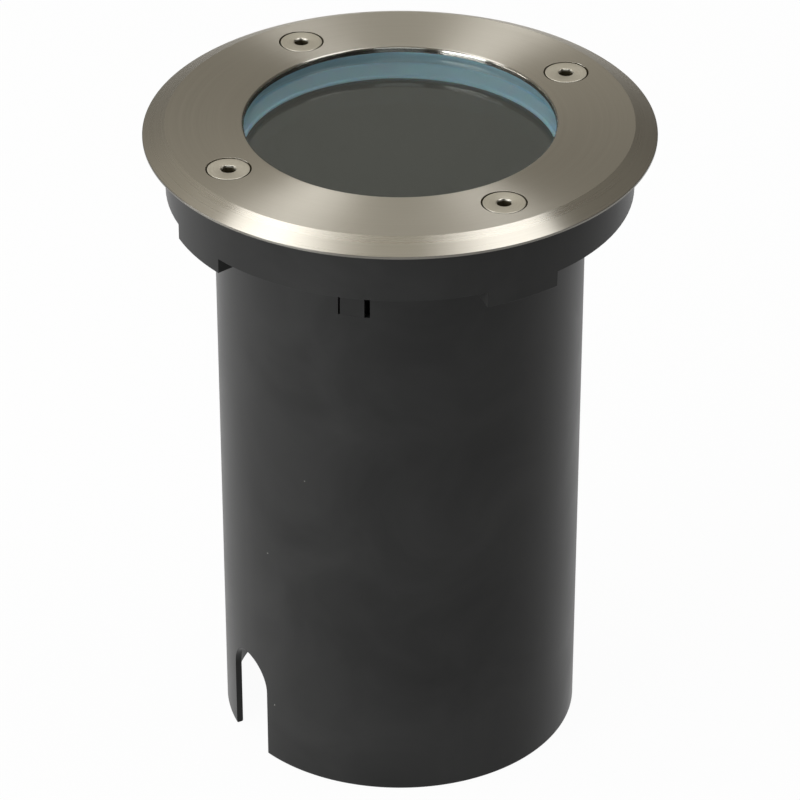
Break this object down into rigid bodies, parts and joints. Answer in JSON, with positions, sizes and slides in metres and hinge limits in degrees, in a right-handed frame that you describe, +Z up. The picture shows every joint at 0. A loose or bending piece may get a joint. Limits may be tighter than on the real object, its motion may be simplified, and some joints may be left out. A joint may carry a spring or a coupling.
{
  "type": "recessed ground spotlight",
  "caption": "Round recessed ground spotlight: steel trim over thick glass, twist-lock lamp in a moulded pot with a cable gland, hanging in a tapered ground sleeve with a cable slot.",
  "frame": {"origin": "middle of the ground sleeve's bottom edge, where the light stands", "axes": "+Z up along the lamp's axis to the trim; the cable slot faces -Y; the trim screws lie on the X and Y axes"},
  "size_m": [0.11, 0.11, 0.147],
  "materials": {
    "trim_steel": "stainless steel, turned and brushed in rings",
    "screw_steel": "bright stainless steel",
    "clear_glass": "clear toughened glass, polished",
    "gasket_silicone": "pale translucent silicone",
    "housing_plastic": "black moulded plastic, satin",
    "sleeve_plastic": "black moulded plastic, satin",
    "gland_plastic": "black moulded plastic, matt",
    "seal_rubber": "black rubber, matt",
    "brass": "plain brass",
    "plated_steel": "zinc plated steel",
    "holder_ceramic": "glazed ceramic, off-white",
    "terminal_plastic": "off-white moulded plastic",
    "live_insulation": "brown silicone insulation",
    "neutral_insulation": "blue silicone insulation",
    "lamp_white": "white moulded plastic, satin",
    "lens_plastic": "clear moulded lens",
    "board_white": "white coated board with yellow chips"
  },
  "bodies": {
    "sleeve": {"ground_sleeve": "sleeve_plastic"},
    "light_unit": {"lamp_housing": "housing_plastic", "screw_inserts": "brass", "gland_body": "gland_plastic", "gland_washer": "seal_rubber", "gland_locknut": "gland_plastic", "gland_seal": "seal_rubber", "holder_bracket": "plated_steel", "bracket_screws": "plated_steel", "lampholder_body": "holder_ceramic", "lampholder_contacts": "brass", "lampholder_screws": "plated_steel", "terminal_block": "terminal_plastic", "terminal_barrels": "brass", "terminal_screws": "plated_steel", "terminal_fixing_screw": "plated_steel", "live_lead": "live_insulation", "neutral_lead": "neutral_insulation"},
    "gland_nut": {"gland_dome_nut": "gland_plastic"},
    "lamp": {"lamp_pins": "brass", "lamp_base": "lamp_white", "lamp_shell": "lamp_white", "lamp_lens": "lens_plastic", "lamp_led_board": "board_white"},
    "cover": {"trim_ring": "trim_steel", "front_glass": "clear_glass", "glass_gasket": "gasket_silicone"},
    "screw_1": {"trim_screw_1": "screw_steel"},
    "screw_2": {"trim_screw_2": "screw_steel"},
    "screw_3": {"trim_screw_3": "screw_steel"},
    "screw_4": {"trim_screw_4": "screw_steel"}
  },
  "joints": [
    {"name": "unit_lift", "type": "slide", "parent": "sleeve", "child": "light_unit", "axis": [0, 0, 1], "range_m": [0, 0.13]},
    {"name": "gland_nut_turn", "type": "hinge", "parent": "light_unit", "child": "gland_nut", "pos_m": [0, -0.0185, 0.017], "axis": [0, 0, 1], "continuous": true},
    {"name": "lamp_turn", "type": "hinge", "parent": "light_unit", "child": "lamp", "pos_m": [0, 0, 0.058], "axis": [0, 0, 1], "range_deg": [0, 30]},
    {"name": "cover_lift", "type": "slide", "parent": "light_unit", "child": "cover", "axis": [0, 0, 1], "range_m": [0, 0.06]},
    {"name": "screw_1_turn", "type": "hinge", "parent": "cover", "child": "screw_1", "pos_m": [0.04196, 0, 0.147], "axis": [0, 0, 1], "continuous": true},
    {"name": "screw_2_turn", "type": "hinge", "parent": "cover", "child": "screw_2", "pos_m": [0, 0.04196, 0.147], "axis": [0, 0, 1], "continuous": true},
    {"name": "screw_3_turn", "type": "hinge", "parent": "cover", "child": "screw_3", "pos_m": [-0.04196, 0, 0.147], "axis": [0, 0, 1], "continuous": true},
    {"name": "screw_4_turn", "type": "hinge", "parent": "cover", "child": "screw_4", "pos_m": [0, -0.04196, 0.147], "axis": [0, 0, 1], "continuous": true}
  ]
}
